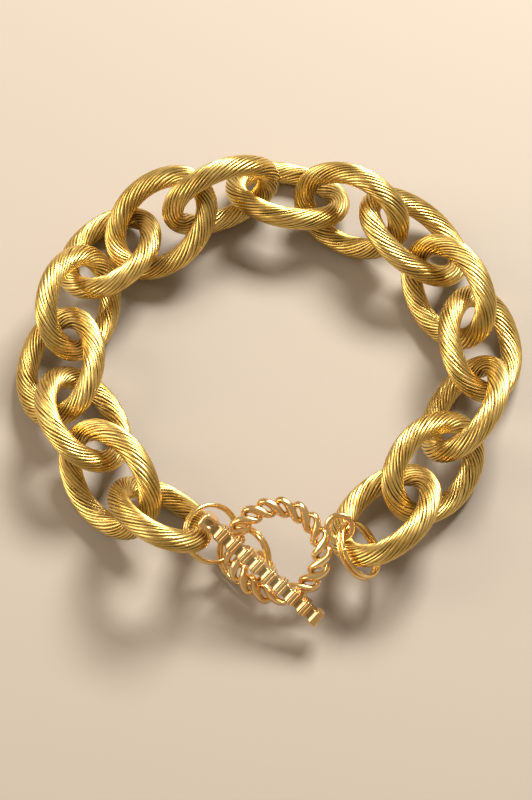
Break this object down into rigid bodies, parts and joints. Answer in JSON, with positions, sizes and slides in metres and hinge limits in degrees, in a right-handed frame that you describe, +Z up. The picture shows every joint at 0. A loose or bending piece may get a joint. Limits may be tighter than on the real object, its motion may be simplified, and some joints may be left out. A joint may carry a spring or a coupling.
{
  "type": "chain bracelet with toggle clasp",
  "caption": "Chunky oval-link chain bracelet in aged gold colour, closed by a rope-twist toggle ring and a ridged bar, laid fastened in a loop.",
  "frame": {"origin": "centre of the object's box on the surface that the bracelet lies on", "axes": "+Z up from the surface through the wrist opening, -Y towards the toggle clasp, +X to the right seen from the clasp"},
  "size_m": [0.0644, 0.0664, 0.0132],
  "materials": {
    "aged_gold": "engraved rope lines, dark in the grooves, worn bright on the ridges",
    "rose_gold": "polished",
    "bright_gold": "polished"
  },
  "bodies": {
    "root": {"link_01": "aged_gold", "link_02": "aged_gold", "link_03": "aged_gold", "link_04": "aged_gold", "link_05": "aged_gold", "link_06": "aged_gold", "link_07": "aged_gold", "link_08": "aged_gold", "link_09": "aged_gold", "link_10": "aged_gold", "link_11": "aged_gold", "link_12": "aged_gold", "link_13": "aged_gold", "link_14": "aged_gold", "link_15": "aged_gold", "link_16": "aged_gold", "toggle_ring": "rose_gold", "toggle_bar": "rose_gold", "chain_ring_1": "bright_gold", "chain_ring_2": "bright_gold", "bar_ring_1": "bright_gold", "bar_ring_2": "bright_gold", "eye_ring_1": "bright_gold", "eye_ring_2": "bright_gold"}
  },
  "joints": []
}
